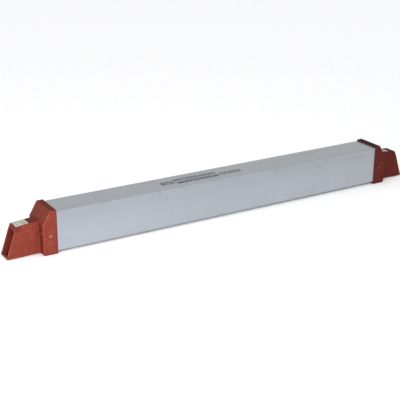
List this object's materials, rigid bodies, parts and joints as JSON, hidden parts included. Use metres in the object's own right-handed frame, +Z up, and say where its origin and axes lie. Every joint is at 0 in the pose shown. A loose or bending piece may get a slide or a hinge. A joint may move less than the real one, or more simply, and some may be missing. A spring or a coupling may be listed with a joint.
{
  "type": "box-beam float",
  "caption": "Hollow rectangular light-alloy beam with red end caps; each cap has a sloped shoulder and a narrow hollow nose, open at its slanted end, with a label on top.",
  "frame": {"origin": "on the resting plane under the collars, below the middle of the beam", "axes": "+X along the beam, +Y to the rear, +Z up; the sides are called front (-Y) and rear (+Y)"},
  "size_m": [1.2252, 0.088, 0.1126],
  "materials": {
    "beam_alloy": "mill-finish light-alloy extrusion, satin",
    "cap_paint": "dull brick-red paint over a casting, dusty and scuffed",
    "seal_rubber": "matte black",
    "label_film": "worn off-white printed film",
    "pin_steel": "zinc-plated, satin"
  },
  "bodies": {
    "root": {"beam_tube": "beam_alloy", "end_cap_left": "cap_paint", "end_cap_right": "cap_paint", "end_seal_left": "seal_rubber", "end_seal_right": "seal_rubber", "nose_label_left": "label_film", "nose_label_right": "label_film", "rivet_left_front": "cap_paint", "rivet_left_rear": "cap_paint", "rivet_right_front": "cap_paint", "rivet_right_rear": "cap_paint", "rivet_mandrel_left_front": "pin_steel", "rivet_mandrel_left_rear": "pin_steel", "rivet_mandrel_right_front": "pin_steel", "rivet_mandrel_right_rear": "pin_steel", "rivet_washer_left_front": "pin_steel", "rivet_washer_left_rear": "pin_steel", "rivet_washer_right_front": "pin_steel", "rivet_washer_right_rear": "pin_steel"}
  },
  "joints": []
}
